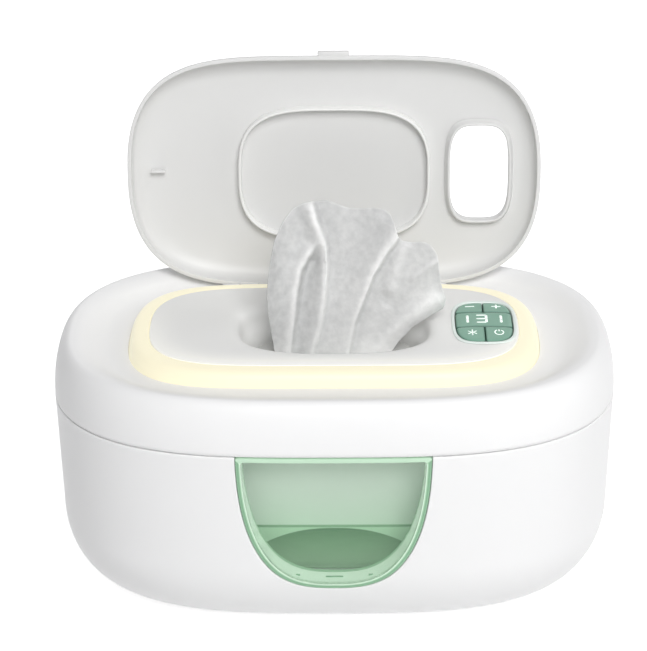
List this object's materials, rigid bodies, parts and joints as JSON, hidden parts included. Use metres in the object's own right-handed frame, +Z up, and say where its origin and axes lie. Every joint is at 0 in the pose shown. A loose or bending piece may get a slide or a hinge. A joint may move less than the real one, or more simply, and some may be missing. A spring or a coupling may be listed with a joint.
{
  "type": "baby wipe warmer",
  "caption": "Table-top wipe warmer: rounded tub with a front window, hinged cover with a lit ring, dispensing mouth and keypad, and a flip lid.",
  "frame": {"origin": "on the plane that the four feet stand on, under the middle of the whole outline with the rear hinge", "axes": "+X to the right seen from the front, +Y to the back, +Z up; the front window faces -Y"},
  "size_m": [0.25, 0.1806, 0.2198],
  "materials": {
    "shell_white": "moulded white ABS with a soft gloss",
    "base_white": "moulded white ABS, satin",
    "foot_rubber": "pale grey rubber",
    "screw_steel": "zinc-plated steel",
    "window_green": "clear pale green moulding, polished",
    "silicone_pale": "soft pale silicone",
    "bin_white": "moulded white polypropylene, satin",
    "plate_alu": "plain sheet aluminium",
    "film_amber": "amber polyimide heating film",
    "pad_grey": "grey felt insulation",
    "fuse_dark": "dark sleeve",
    "sensor_dark": "dark epoxy bead",
    "board_green": "green circuit board",
    "jack_black": "black moulded socket",
    "pin_steel": "drawn steel",
    "wrap_green": "plain pale green film wrap",
    "cover_white": "moulded white ABS with a soft gloss",
    "diffuser": "translucent diffuser lit warm from below",
    "deck_white": "moulded pale grey-white ABS, satin",
    "silicone_grey": "soft grey silicone",
    "liner_white": "moulded white polypropylene, satin",
    "board_white": "white circuit board",
    "lamp_warm": "warm white lamps",
    "switch_dark": "dark moulded switches",
    "display_dark": "dark display body",
    "display_green": "green tinted display window, glossy",
    "bezel_mint": "pale mint moulded rim",
    "wipe_cloth": "moist white nonwoven cloth",
    "lid_white": "moulded white ABS with a soft gloss",
    "rib_white": "soft white silicone rib",
    "key_green": "green rubberised keys, satin"
  },
  "bodies": {
    "base": {"base_shell": "shell_white", "base_plate": "base_white", "rubber_feet": "foot_rubber", "base_screws": "screw_steel", "window_lens": "window_green", "window_gasket": "silicone_pale", "wipe_bin": "bin_white", "heater_plate": "plate_alu", "heater_film": "film_amber", "insulation_pad": "pad_grey", "thermal_cutoff": "fuse_dark", "thermistor": "sensor_dark", "main_board": "board_green", "dc_jack": "jack_black", "cover_hinge_pin": "pin_steel", "wipe_pack": "wrap_green"},
    "cover": {"upper_shell": "cover_white", "light_ring": "diffuser", "top_deck": "deck_white", "dispensing_insert": "silicone_grey", "cover_liner": "liner_white", "chamber_seal": "silicone_pale", "ring_board": "board_white", "ring_leds": "lamp_warm", "control_board": "board_green", "key_switches": "switch_dark", "display_module": "display_dark", "display_lens": "display_green", "keypad_bezel": "bezel_mint", "cover_screws": "screw_steel", "lid_hinge_pins": "pin_steel", "wipe": "wipe_cloth"},
    "lid": {"lid": "lid_white", "lid_seal": "rib_white"},
    "key_minus": {"key_minus": "key_green"},
    "key_plus": {"key_plus": "key_green"},
    "key_light": {"key_light": "key_green"},
    "key_power": {"key_power": "key_green"}
  },
  "joints": [
    {"name": "cover_hinge", "type": "hinge", "parent": "base", "child": "cover", "pos_m": [0, 0.0867, 0.0893], "axis": [-1, 0, 0], "range_deg": [0, 80]},
    {"name": "lid_hinge", "type": "hinge", "parent": "cover", "child": "lid", "pos_m": [0, 0.0518, 0.1076], "axis": [1, 0, 0], "range_deg": [0, 94], "deforming": ["wipe"]},
    {"name": "key_minus_press", "type": "slide", "parent": "cover", "child": "key_minus", "axis": [0, 0, -1], "range_m": [0, 0.0008], "stiffness_N_per_m": 500},
    {"name": "key_plus_press", "type": "slide", "parent": "cover", "child": "key_plus", "axis": [0, 0, -1], "range_m": [0, 0.0008], "stiffness_N_per_m": 500},
    {"name": "key_light_press", "type": "slide", "parent": "cover", "child": "key_light", "axis": [0, 0, -1], "range_m": [0, 0.0008], "stiffness_N_per_m": 500},
    {"name": "key_power_press", "type": "slide", "parent": "cover", "child": "key_power", "axis": [0, 0, -1], "range_m": [0, 0.0008], "stiffness_N_per_m": 500}
  ]
}
